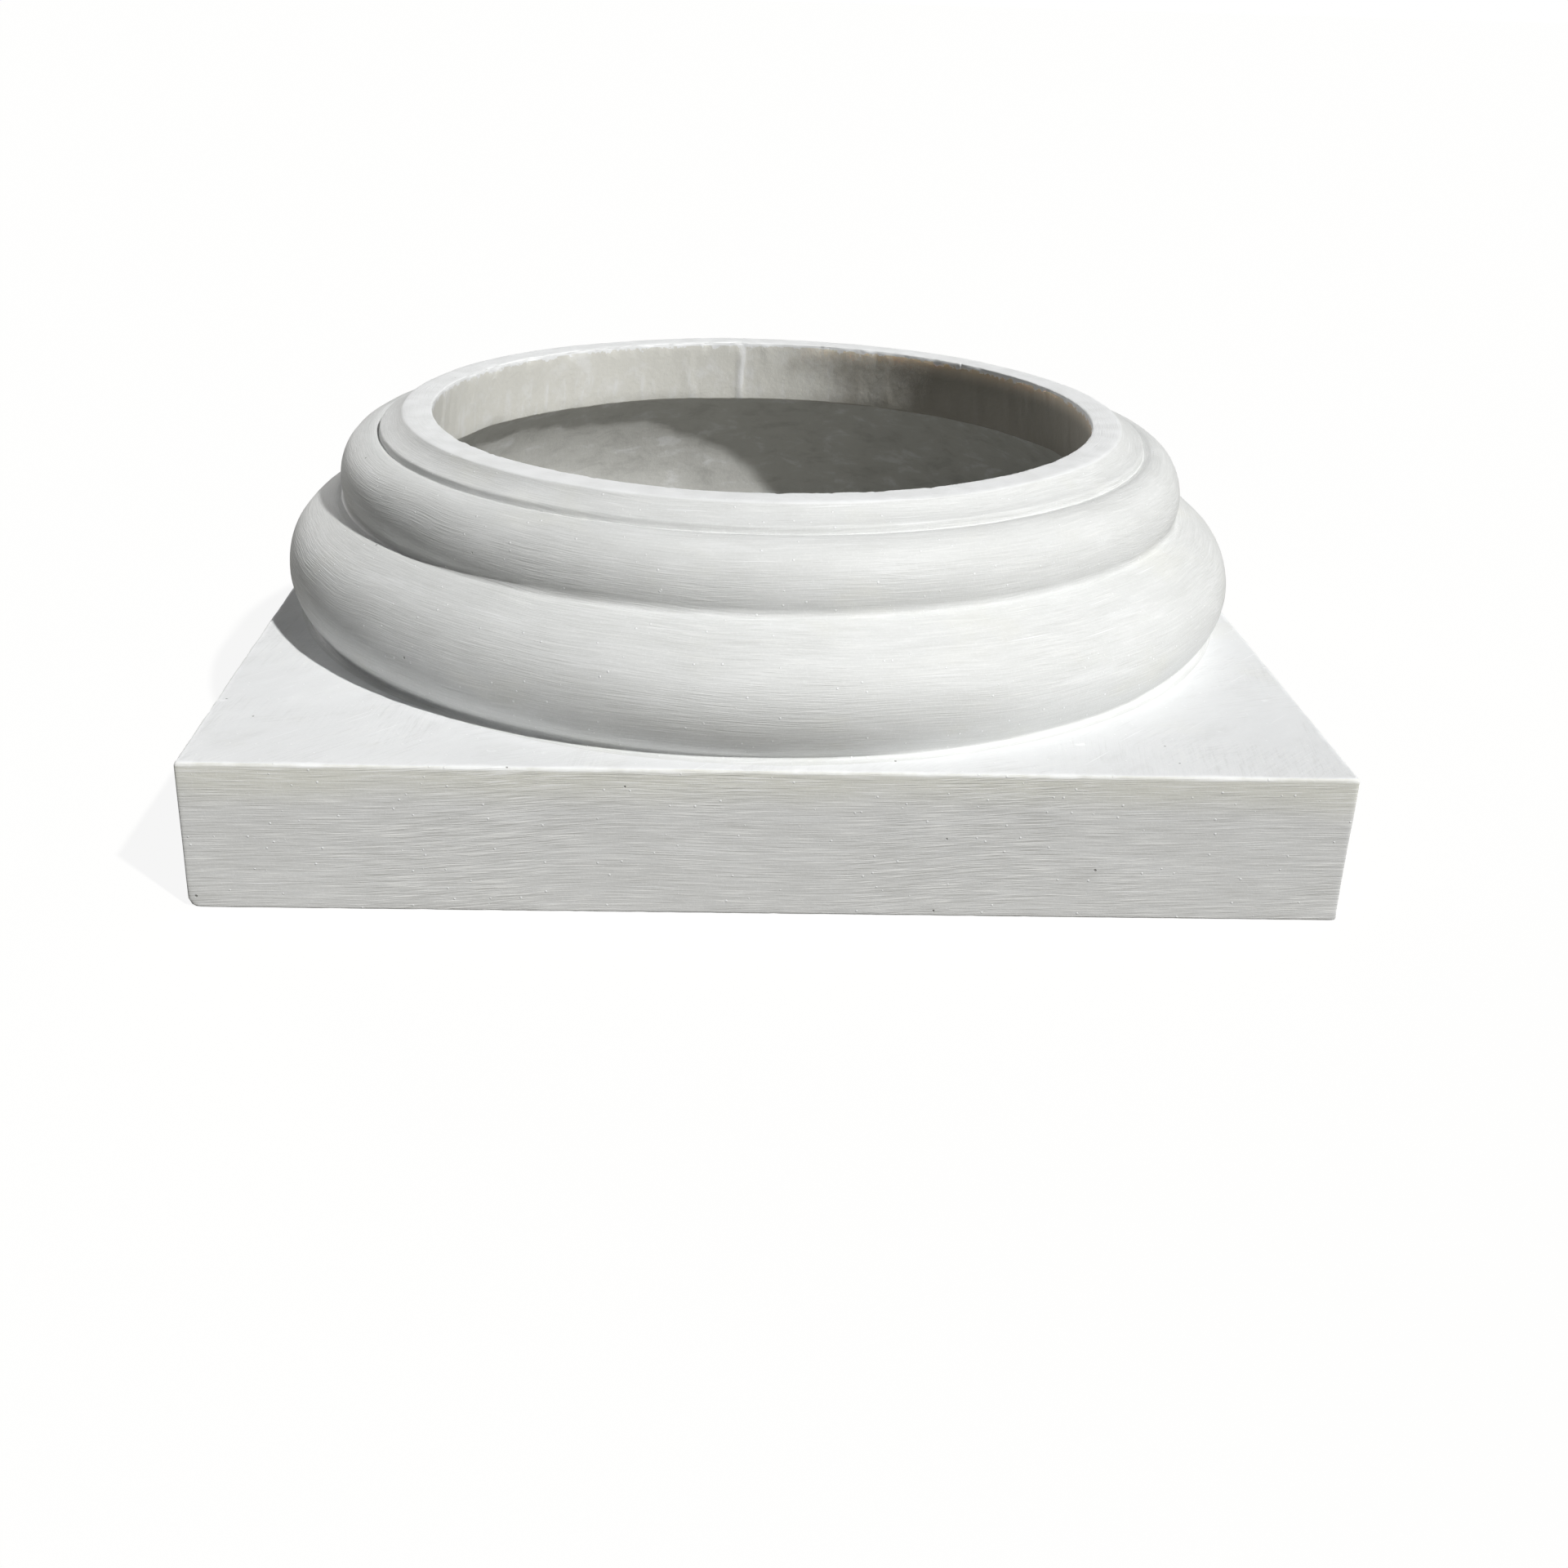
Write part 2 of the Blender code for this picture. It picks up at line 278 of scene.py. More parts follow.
def casting_section(s):
    """The closed section of the casting, from the rim's inner corner out, down, in and up again."""
    fillet_ease = foot_ease = 0.0009
    groove_ease = 0.0004
    groove_lean = 0.0003
    skirt_thickness = 0.0001
    upper_tuck = 20
    lower_start = 52
    lower_tuck = 40
    cavetto_start = 214
    cavetto_end = 254
    rim_radius = s.opening_radius + s.rim_width
    fillet_radius = rim_radius + s.cavetto_projection
    torus_top = HEIGHT - s.cavetto_height - s.fillet_height
    cavetto_semi = (
        s.cavetto_projection / (cos_degrees(cavetto_end) - cos_degrees(cavetto_start)),
        s.cavetto_height / (sin_degrees(cavetto_start) - sin_degrees(cavetto_end)),
    )
    cavetto_centre = (
        rim_radius - cavetto_semi[0] * cos_degrees(cavetto_start),
        HEIGHT - cavetto_semi[1] * sin_degrees(cavetto_start),
    )
    cavetto = elliptic_arc(cavetto_centre, cavetto_semi, cavetto_start, cavetto_end, 7)
    upper_centre = (fillet_radius + s.groove_width, torus_top - s.upper_torus_crown)
    crown = elliptic_arc(upper_centre, (s.upper_torus_projection, s.upper_torus_crown), 84, 0, 14)
    belly = elliptic_arc(
        upper_centre, (s.upper_torus_projection, s.upper_torus_half_height), 0, -upper_tuck, 5
    )
    neck = belly[-1]
    scotia = elliptic_arc(
        (neck.radius + s.scotia_flare, neck.height), (s.scotia_flare, s.scotia_height), 190, 262, 4
    )
    lower_semi = (s.lower_torus_projection, s.lower_torus_half_height)
    lower_centre = (
        neck.radius - s.lower_torus_inset,
        s.plinth_height + s.cove_height + lower_semi[1] * sin_degrees(lower_tuck),
    )
    lower = elliptic_arc(lower_centre, lower_semi, lower_start, -lower_tuck, 24)
    ledge = scotia[-1]
    shoulder = bent(
        (ledge.radius, ledge.height),
        (ledge.radius + s.shoulder_width, ledge.height - 0.14 * s.shoulder_width),
        (lower[0].radius, lower[0].height),
        7,
    )
    foot = lower[-1]
    cove = elliptic_arc(
        (foot.radius + s.cove_flare, foot.height), (s.cove_flare, s.cove_height * 0.9), 200, 264, 4
    )
    skirt_radius = foot.radius + s.cove_flare + s.skirt
    half = PLINTH_WIDTH / 2
    collar_radius = s.opening_radius + s.collar_draft
    collar_foot = HEIGHT - s.collar_depth
    foot_radius = half - s.foot_wall
    widening = foot_radius - collar_radius - s.inner_step
    flare_radius = (widening ** 2 + s.flare_depth ** 2) / (2 * widening)
    flare = elliptic_arc(
        (foot_radius - flare_radius, collar_foot - s.flare_depth),
        (flare_radius, flare_radius),
        0,
        math.degrees(2 * math.atan2(widening, s.flare_depth)),
        8,
        RAW,
    )
    return [
        Station(s.opening_radius, HEIGHT, s.rim_ease, 0.0, 1.0, TURNED),
        Station(s.opening_radius + s.rim_ease * 1.8, HEIGHT, 0.0, 0.0, 0.0, TURNED),
        Station(rim_radius, HEIGHT, s.rim_ease * 2.2, 0.0, 0.0, TURNED),
        *cavetto[1:-1],
        Station(fillet_radius, torus_top + s.fillet_height, fillet_ease, 0.0, 0.25, TURNED),
        Station(fillet_radius + groove_lean, torus_top - s.groove_depth, groove_ease, 0.0, 0.0, TURNED),
        *crown,
        *belly[1:],
        *scotia[1:],
        *[Station(radius, height, 0.0, 0.0, 0.0, TURNED) for radius, height in shoulder[1:-1]],
        *lower,
        *cove[1:],
        Station(skirt_radius, s.plinth_height + skirt_thickness, foot_ease, 0.0, 0.5, TURNED),
        Station(half, s.plinth_height, s.arris_ease, 1.0, 0.5, PLINTH_TOP),
        Station(half, s.arris_ease * 2.5, 0.0, 1.0, 0.0, PLINTH_SIDE),
        Station(half, 0.0, s.arris_ease * 0.7, 1.0, 0.3, PLINTH_SIDE),
        Station(foot_radius, 0.0, s.arris_ease, 0.0, 0.3, RAW),
        *flare,
        Station(collar_radius, collar_foot, foot_ease, 0.0, 0.4, RAW),
        Station(s.opening_radius, HEIGHT - s.rim_ease * 1.2, 0.0, 0.0, 0.8, COLLAR),
    ]


def write_attribute(mesh, name, values):
    """Stores one number for each point of a mesh."""
    layer = mesh.attributes.new(name, "FLOAT", "POINT")
    layer.data.foreach_set("value", values)


def loop_guide(name, points, attributes):
    """A closed loop of edges that carries one value of each attribute at each of its points."""
    mesh = bpy.data.meshes.new(name)
    edges = [(index, (index + 1) % len(points)) for index in range(len(points))]
    mesh.from_pydata(points, edges, [])
    for attribute, values in attributes.items():
        write_attribute(mesh, attribute, values)
    guide = bpy.data.objects.new(name, mesh)
    bpy.context.scene.collection.objects.link(guide)
    return guide


def section_guide(section):
    """The section as a loop that carries each station's place, squareness, wear, part and run so far."""
    run = 0.0
    across = []
    for index, station in enumerate(section):
        before = section[index - 1] if index else station
        run += math.hypot(station.radius - before.radius, station.height - before.height)
        across.append(run)
    attributes = {
        "station_radius": [station.radius for station in section],
        "station_height": [station.height for station in section],
        "square": [station.square for station in section],
        "wear": [station.wear for station in section],
        "across": across,
    }
    for flag, parts in PART_FLAGS.items():
        attributes[flag] = [float(station.part in parts) for station in section]
    points = [(station.radius, station.height, 0.0) for station in section]
    return loop_guide("section guide", points, attributes)


def turning_guide(segments):
    """A circle of angles, evenly spread, with a few more close to each corner of the plinth."""
    near_corner = [0.07, 0.15, 0.27]
    angles = [math.tau * step / segments for step in range(segments)]
    for corner in range(4):
        middle = math.radians(45 + 90 * corner)
        for offset in near_corner:
            angles.append(middle + math.radians(offset))
            angles.append(middle - math.radians(offset))
    angles.sort()
    points = [(math.cos(angle), math.sin(angle), 0.0) for angle in angles]
    return loop_guide("turning guide", points, {"turn": angles})


def tree_input(tree, name, kind, default=None):
    """Gives a tree a named input and returns the identifier by which a modifier sets it."""
    socket = tree.interface.new_socket(name, in_out="INPUT", socket_type=kind)
    if default is not None:
        socket.default_value = default
    return socket.identifier


def moved(tree, geometry, direction, distance):
    """The geometry with each point pushed a distance along a direction."""
    offset = add(tree, "ShaderNodeVectorMath", {0: direction, "Scale": distance}, operation="SCALE")[0]
    return add(tree, "GeometryNodeSetPosition", {"Geometry": geometry, "Offset": offset})[0]


def casting_tree():
    """Geometry nodes that turn the section round the axis, square off the plinth and wear the surface."""
    tree = bpy.data.node_groups.new("Turned and squared casting", "GeometryNodeTree")
    ids = {
        "section": tree_input(tree, "Section", "NodeSocketObject"),
        "turning": tree_input(tree, "Turning", "NodeSocketObject"),
        "corner_sharpness": tree_input(tree, "Corner sharpness", "NodeSocketFloat", 420.0),
        "waviness": tree_input(tree, "Waviness", "NodeSocketFloat"),
        "chipping": tree_input(tree, "Chipping", "NodeSocketFloat"),
        "drip_height": tree_input(tree, "Drip height", "NodeSocketFloat"),
        "seam_height": tree_input(tree, "Seam height", "NodeSocketFloat"),
        "roughness": tree_input(tree, "Raw roughness", "NodeSocketFloat"),
        "knock": tree_input(tree, "Knocked corner", "NodeSocketFloat"),
        "collar_foot": tree_input(tree, "Collar foot", "NodeSocketFloat"),
        "turned_resin": tree_input(tree, "Turned resin", "NodeSocketMaterial"),
        "top_resin": tree_input(tree, "Plinth top resin", "NodeSocketMaterial"),
        "side_resin": tree_input(tree, "Plinth side resin", "NodeSocketMaterial"),
        "raw_resin": tree_input(tree, "Raw resin", "NodeSocketMaterial"),
    }
    tree.interface.new_socket("Casting", in_out="OUTPUT", socket_type="NodeSocketGeometry")
    given = add(tree, "NodeGroupInput")

    curves = []
    for name in ("Turning", "Section"):
        guide = add(tree, "GeometryNodeObjectInfo", {"Object": given[name]})["Geometry"]
        curves.append(add(tree, "GeometryNodeMeshToCurve", {"Mesh": guide})[0])
    swept = add(tree, "GeometryNodeCurveToMesh", {"Curve": curves[0], "Profile Curve": curves[1]})[0]

    turn = add(tree, "attribute", "turn")
    cosine = add(tree, "cosine", turn)
    sine = add(tree, "sine", turn)
    shape = squared_radius(tree, cosine, sine, given["Corner sharpness"])
    place = add(
        tree, "ShaderNodeCombineXYZ",
        {
            "X": add(tree, "times", shape, cosine),
            "Y": add(tree, "times", shape, sine),
            "Z": add(tree, "attribute", "station_height"),
        },
    )[0]
    casting = add(tree, "GeometryNodeSetPosition", {"Geometry": swept, "Position": place})[0]
    casting = worn(tree, casting, given)

    casting = add(tree, "GeometryNodeSetShadeSmooth", {"Geometry": casting})[0]
    casting = add(tree, "GeometryNodeRealizeInstances", {"Geometry": casting})[0]
    casting = add(
        tree, "GeometryNodeSetMaterial", {"Geometry": casting, "Material": given["Turned resin"]}
    )[0]
    for flag, material in (
        ("plinth_top", "Plinth top resin"),
        ("plinth_side", "Plinth side resin"),
        ("raw_inside", "Raw resin"),
    ):
        chosen = add(
            tree, "FunctionNodeCompare",
            add(tree, "attribute", flag),
            0.4,
            data_type="FLOAT",
            operation="GREATER_THAN",
        )[0]
        casting = add(
            tree, "GeometryNodeSetMaterial",
            {"Geometry": casting, "Selection": chosen, "Material": given[material]},
        )[0]
    add(tree, "NodeGroupOutput", {0: casting})
    return tree, ids


def squared_radius(tree, cosine, sine, sharpness):
    """Each station's distance from the axis: its radius, or on the plinth the square's reach there."""
    across = add(tree, "size", cosine)
    along = add(tree, "size", sine)
    larger = add(tree, "larger", across, along)
    ratio = add(tree, "over", add(tree, "smaller", across, along), larger)
    bulge = add(tree, "plus", add(tree, "power", ratio, sharpness), 1.0)
    rounding = add(tree, "power", bulge, add(tree, "over", 1.0, sharpness))
    reach = add(tree, "over", 1.0, add(tree, "times", larger, rounding))
    share = add(
        tree, "ShaderNodeMix",
        {0: add(tree, "attribute", "square"), 2: 1.0, 3: reach},
        data_type="FLOAT",
        clamp_factor=True,
    )[0]
    return add(tree, "times", add(tree, "attribute", "station_radius"), share)


def worn(tree, casting, given):
    """Hand-sanded waves, chipped edges, a knocked corner, drips, the mould seam and the rough hollow."""
    place = add(tree, "GeometryNodeInputPosition")[0]
    outward = add(tree, "GeometryNodeInputNormal")[0]
    parts = add(tree, "parts", place)
    flat = add(tree, "ShaderNodeCombineXYZ", {"X": parts[0], "Y": parts[1]})[0]
    radial = add(tree, "ShaderNodeVectorMath", flat, operation="NORMALIZE")[0]
    raw = add(tree, "attribute", "raw_inside")
    standing = add(tree, "fade", parts[2], 0.0, 3 * MM)

    wave = add(tree, "minus", add(tree, "noise", place, 1 / (42 * MM), 2.0), 0.5)
    wave = add(tree, "times", add(tree, "times", wave, standing), 4.0)
    casting = moved(tree, casting, outward, add(tree, "times", wave, given["Waviness"]))

    back = add(tree, "fade", parts[1], -30 * MM, 100 * MM, 0.4, 1.0)
    high = add(tree, "fade", parts[2], HEIGHT - 6 * MM, HEIGHT - 3 * MM)
    exposed = add(tree, "ShaderNodeMix", {0: high, 2: 0.5, 3: back}, data_type="FLOAT")[0]
    bites = add(tree, "fade", add(tree, "noise", place, 1 / (5.5 * MM), 5.0, 0.7), 0.47, 0.75)
    depth = add(tree, "times", bites, add(tree, "times", exposed, add(tree, "attribute", "wear")))
    depth = add(tree, "times", depth, add(tree, "times", given["Chipping"], -1.0))
    casting = moved(tree, casting, outward, depth)

    corner = (-PLINTH_WIDTH / 2, -PLINTH_WIDTH / 2, LOW_CORNER[2])
    inward = (1.0, 1.0, 0.35)
    away = add(tree, "ShaderNodeVectorMath", place, corner, operation="DISTANCE")["Value"]
    hit = add(tree, "fade", away, 0.3 * MM, 3.5 * MM, 0.8, 0.0)
    casting = moved(tree, casting, inward, add(tree, "times", hit, given["Knocked corner"]))

    streaked = add(tree, "ShaderNodeVectorMath", place, (1.0, 1.0, 0.16), operation="MULTIPLY")[0]
    drips = add(tree, "fade", add(tree, "noise", streaked, 1 / (9 * MM), 3.0, 0.6), 0.45, 0.8)
    above_foot = add(tree, "plus", given["Collar foot"], 4 * MM)
    on_collar = add(tree, "fade", parts[2], given["Collar foot"], above_foot)
    on_collar = add(tree, "times", on_collar, raw)
    drips = add(tree, "times", add(tree, "times", drips, on_collar), given["Drip height"])

    gap = seam_gap(tree, add(tree, "attribute", "turn"), streaked)
    seam = add(tree, "fade", gap, 0.0, math.radians(1.0), 1.0, 0.0)
    below_rim = add(tree, "fade", parts[2], HEIGHT - 6 * MM, HEIGHT - 3 * MM, 1.0, 0.0)
    seam = add(tree, "times", add(tree, "times", seam, on_collar), below_rim)
    seam = add(tree, "times", seam, given["Seam height"])
    casting = moved(tree, casting, radial, add(tree, "times", add(tree, "plus", drips, seam), -1.0))

    below = add(tree, "times", add(tree, "minus", raw, on_collar), standing)
    lumps = add(tree, "minus", add(tree, "noise", place, 1 / (28 * MM), 4.0, 0.55), 0.62)
    lumps = add(tree, "times", add(tree, "times", lumps, below), given["Raw roughness"])
    return moved(tree, casting, outward, add(tree, "times", lumps, 2.0))


def seam_gap(tree, turn, streaked):
    """The angle between a point and the mould seam, which wanders a little on its way down."""
    seam_angle = math.radians(92.6)
    wander = add(tree, "minus", add(tree, "noise", streaked, 1 / (5 * MM), 2.0), 0.5)
    gap = add(tree, "times plus", wander, math.radians(1.2), add(tree, "minus", turn, seam_angle))
    return add(tree, "size", gap)


def resin_material(name, roughness):
    """An empty material with its shader, and the object coordinates that its patterns read."""
    material = bpy.data.materials.new(name)
    material.use_nodes = True
    tree = material.node_tree
    shader = tree.nodes["Principled BSDF"]
    shader.inputs["IOR"].default_value = 1.5
    shader.inputs["Roughness"].default_value = roughness
    place = add(tree, "ShaderNodeTexCoord")["Object"]
    return material, tree, shader, place


def strokes(tree, vector, share, shift=(0.0, 0.0, 0.0)):
    """Separate tapered strokes, in some of the cells of a grid that is one unit of the vector each way."""
    cells = add(
        tree, "ShaderNodeTexVoronoi",
        {"Vector": add(tree, "mapping", {"Vector": vector, "Location": shift}), "Scale": 1.0},
    )
    mark = add(tree, "fade", cells["Distance"], 0.12, 0.46, 1.0, 0.0)
    lot = add(tree, "ShaderNodeSeparateColor", cells["Color"])[0]
    return add(tree, "times", mark, add(tree, "fade", lot, 1 - share, 1.0))


def sanding_marks(tree, vector):
    """One pass of the abrasive: above zero where it leaves powder, below zero where it leaves a furrow."""
    streaks = add(tree, "minus", add(tree, "noise", vector, 1.0, 2.0, 0.7), 0.5)
    furrow = strokes(tree, vector, 0.3, (2.7, 9.4, 4.6))
    separate = add(tree, "minus", strokes(tree, vector, 0.35), furrow)
    return add(tree, "times plus", streaks, 4.2, add(tree, "times", separate, 0.4))


def specks(tree, place, spacing, size, share):
    """Small round dots, one in some of the cells of a grid of the given spacing."""
    cells = add(tree, "ShaderNodeTexVoronoi", {"Vector": place, "Scale": 1 / spacing})
    dot = add(tree, "fade", cells["Distance"], size / spacing * 0.5, size / spacing, 1.0, 0.0)
    lot = add(tree, "ShaderNodeSeparateColor", cells["Color"])[0]
    return add(tree, "times", dot, add(tree, "fade", lot, 1 - share, 1 - share + 0.01))


def sanded_resin(name, base, colours, passes, yellowed, chalk_with_painted_highlight, contrast=0.3, relief=0.034):
    """Sanded marble-filled resin: a matt off-white with powdery strokes, clouds, specks and pinholes."""
    material, tree, shader, place = resin_material(name, 0.62)
    chalk = colours.chalk
    rubbed = passes(tree, place)
    cloud = add(tree, "noise", add(tree, "mapping", rubbed[0][0], (0.4, 0.4, 0.06)), 1.0, 5.0, 0.68)
    white = add(tree, "fade", cloud, 0.5, 0.75, 0.0, 0.28)
    grey = add(tree, "fade", cloud, 0.5, 0.28, 0.0, 0.16)
    ground = add(tree, "blend", yellowed(tree, place), base, colours.tint)
    ground = add(tree, "blend", white, ground, chalk)
    ground = add(tree, "blend", grey, ground, colours.furrow)

    # Powder dust is finer than the render shows, so its grain is drawn 0.9 mm wide.
    dust = add(tree, "fade", add(tree, "noise", place, 1 / (0.9 * MM), 3.0, 0.7), 0.45, 0.8)
    ground = add(tree, "blend", add(tree, "times", dust, 0.25), ground, chalk)
    marks = 0.0
    for vector, weight in rubbed:
        marks = add(tree, "times plus", sanding_marks(tree, vector), weight, marks)
    furrows = add(tree, "fade", marks, -0.05, -1.0, 0.0, 0.6 * contrast)
    powder = add(tree, "fade", marks, 0.05, 1.0, 0.0, contrast)
    ground = add(tree, "blend", furrows, ground, colours.furrow)
    ground = add(tree, "blend", powder, ground, colours.scratch)
    scratch = strokes(tree, add(tree, "mapping", rubbed[0][0], (0.6, 0.6, 1.3)), 0.07, (8.2, 1.4, 6.6))
    nibs = specks(tree, place, 3.7 * MM, 0.42 * MM, 0.7)
    holes = specks(
        tree,
        add(tree, "mapping", {"Vector": place, "Location": (0.03, 0.05, 0.02)}),
        12 * MM,
        0.5 * MM,
        0.5,
    )
    # Scratches, nibs and chalk lighten the colour here, the chalk partly painted highlight and painted light
    # on upward faces.
    bright = add(tree, "larger", add(tree, "larger", scratch, nibs), chalk_with_painted_highlight(tree, place))
    ground = add(tree, "blend", add(tree, "times", bright, 0.85), ground, chalk)
    ground = add(tree, "blend", add(tree, "times", holes, 0.75), ground, colours.pinhole)
    tree.links.new(ground, shader.inputs["Base Color"])

    height = add(tree, "times plus", nibs, 3.0, marks)
    height = add(tree, "times plus", dust, 0.5, height)
    height = add(tree, "times plus", holes, -6.0, height)
    bump = add(tree, "ShaderNodeBump", {"Height": height, "Strength": 1.0, "Distance": relief * MM})[0]
    tree.links.new(bump, shader.inputs["Normal"])
    return material


def passes_round_mouldings(tree, place):
    """Strokes that run round the axis: slow along the circle, quick across the section."""
    mean_radius = 160 * MM
    parts = add(tree, "parts", place)
    flat = add(tree, "ShaderNodeCombineXYZ", {"X": parts[0], "Y": parts[1]})[0]
    circle = add(tree, "ShaderNodeVectorMath", flat, operation="NORMALIZE")[0]
    unrolled = add(tree, "ShaderNodeVectorMath", {0: circle, "Scale": mean_radius}, operation="SCALE")[0]
    around = add(tree, "parts", unrolled)
    across = add(tree, "ShaderNodeAttribute", attribute_name="across")["Fac"]
    across = add(tree, "times plus", add(tree, "noise", place, 1 / (60 * MM), 1.0), 6 * MM, across)
    return [
        (leaning(tree, around, across, 0.0, 16 * MM, 0.55 * MM), 1.0),
        (leaning(tree, around, across, -0.09, 18 * MM, 0.55 * MM), rubbed_patches(tree, place, 1)),
    ]


def passes_along_plinth(tree, place):
    """Level strokes on the plinth's four sides, and patches where they rise by six degrees."""
    parts = add(tree, "parts", place)
    height = add(tree, "times plus", add(tree, "noise", place, 1 / (90 * MM), 0.0), 5 * MM, parts[2])
    return [
        (leaning(tree, parts, height, -0.018, 18 * MM, 0.45 * MM), 1.0),
        (leaning(tree, parts, height, -0.09, 15 * MM, 0.45 * MM), rubbed_patches(tree, place, 2)),
    ]


def leaning(tree, along, across, lean, stroke, width):
    """Cells for one pass of the abrasive, whose strokes rise by the lean as they go round the piece."""
    way = add(tree, "plus", along[0], along[1])
    height = add(tree, "times plus", way, lean, across)
    place = add(tree, "ShaderNodeCombineXYZ", {"X": along[0], "Y": along[1], "Z": height})[0]
    return add(tree, "mapping", place, (1 / stroke, 1 / stroke, 1 / width))


def rubbed_patches(tree, place, order):
    """Where a second pass was made over the first, in patches some 50 mm across."""
    shifted = add(tree, "mapping", {"Vector": place, "Location": (0.4 * order, 0.0, 0.0)})
    return add(tree, "fade", add(tree, "noise", shifted, 1 / (50 * MM), 1.0), 0.42, 0.62)


def passes_on_plinth_top(tree, place):
    """Short strokes on the plinth's top, in patches that were each rubbed in a direction of their own."""
    made = []
    for order, degrees in enumerate((47, 82, 20)):
        turned = add(tree, "mapping", {"Vector": place, "Rotation": (0.0, 0.0, math.radians(-degrees))})
        strip = add(tree, "parts", turned)
        lying = add(tree, "ShaderNodeCombineXYZ", {"X": strip[0], "Y": 0.05 * order, "Z": strip[1]})[0]
        cells = add(tree, "mapping", lying, (1 / (14 * MM), 1 / (14 * MM), 1 / (0.9 * MM)))
        made.append((cells, rubbed_patches(tree, place, order)))
    return made


def yellow_patches(tree, place):
    """Where the sanding went through the white skin, in soft patches drawn out round the axis."""
    long_patch = add(tree, "mapping", place, (1.0, 1.0, 2.2))
    return add(tree, "fade", add(tree, "noise", long_patch, 1 / (34 * MM), 3.0, 0.55), 0.55, 0.75, 0.0, 0.2)


def yellow_under_arris(tree, place):
    """The band of yellower resin along the top of the plinth's sides."""
    plinth_height = bpy.context.scene.column_base_sizes.plinth_height
    below = add(tree, "minus", plinth_height, add(tree, "parts", place)[2])
    ragged = add(tree, "times plus", add(tree, "noise", place, 1 / (40 * MM), 3.0), -12 * MM, below)
    return add(tree, "fade", ragged, -4 * MM, 9 * MM, 0.6, 0.0)


def chalk_and_painted_light_on_rim(tree, place):
    """Chalk worn on to the flat rim, and on to its corners, partly painted light that makes the upward rim
    lighter.
    """
    height = add(tree, "parts", place)[2]
    on_rim = add(tree, "fade", height, HEIGHT - 0.8 * MM, HEIGHT - 0.1 * MM)
    patchy = add(tree, "fade", add(tree, "noise", place, 1 / (9 * MM), 2.0), 0.3, 0.7, 0.65, 1.0)
    return add(tree, "times", on_rim, patchy)


def chalk_and_painted_highlight_on_arris(tree, place):
    """A broken, ragged line of chalk along the plinth's arrises, on its top and its sides, partly a painted
    highlight on the edge.
    """
    plinth_height = bpy.context.scene.column_base_sizes.plinth_height
    parts = add(tree, "parts", place)
    reach = add(tree, "larger", add(tree, "size", parts[0]), add(tree, "size", parts[1]))
    ragged = add(tree, "times", add(tree, "noise", place, 1 / (6 * MM), 4.0, 0.65), 2.4 * MM)
    half = PLINTH_WIDTH / 2
    outer = add(tree, "fade", add(tree, "plus", reach, ragged), half - 1.2 * MM, half + 0.2 * MM)
    upper = add(tree, "fade", parts[2], plinth_height - 1.6 * MM, plinth_height - 0.8 * MM)
    broken = add(tree, "fade", add(tree, "noise", place, 1 / (18 * MM), 4.0, 0.65), 0.35, 0.65, 0.15, 0.9)
    return add(tree, "times", add(tree, "times", outer, upper), broken)


def chalk_and_painted_highlight_on_top(tree, place):
    """Chalk on the arris and near it, a few blots on the open corners, and a painted highlight round the foot
    of the lower torus.
    """
    sizes = bpy.context.scene.column_base_sizes
    half = PLINTH_WIDTH / 2
    flat = add(tree, "ShaderNodeVectorMath", place, (1.0, 1.0, 0.0), operation="MULTIPLY")[0]
    radius = add(tree, "ShaderNodeVectorMath", flat, operation="LENGTH")["Value"]
    foot = half - sizes.skirt
    patchy = add(tree, "fade", add(tree, "noise", place, 1 / (30 * MM), 3.0), 0.4, 0.7, 0.0, 0.35)
    # A painted highlight in a patchy ring round the foot of the lower torus.
    angle = add(tree, "times", add(tree, "fade", radius, foot, foot + 3 * MM, 1.0, 0.0), patchy)

    parts = add(tree, "parts", place)
    reach = add(tree, "larger", add(tree, "size", parts[0]), add(tree, "size", parts[1]))
    near_edge = add(tree, "fade", reach, half - 18 * MM, half, 0.0, 0.7)
    worn_edge = add(tree, "times", near_edge, patchy)

    stretched = add(tree, "ShaderNodeVectorMath", place, (1.0, 1.6, 1.0), operation="MULTIPLY")[0]
    ragged = add(tree, "times", add(tree, "noise", place, 1 / (2.5 * MM), 3.0), 0.004)
    wavy = add(tree, "ShaderNodeVectorMath", stretched, ragged, operation="ADD")[0]
    blots = specks(tree, wavy, 20 * MM, 2.2 * MM, 0.7)
    # The painted highlight at the foot joins the chalk of the worn edges here.
    worn = add(tree, "larger", angle, worn_edge)
    return add(tree, "larger", add(tree, "larger", worn, blots), chalk_and_painted_highlight_on_arris(tree, place))


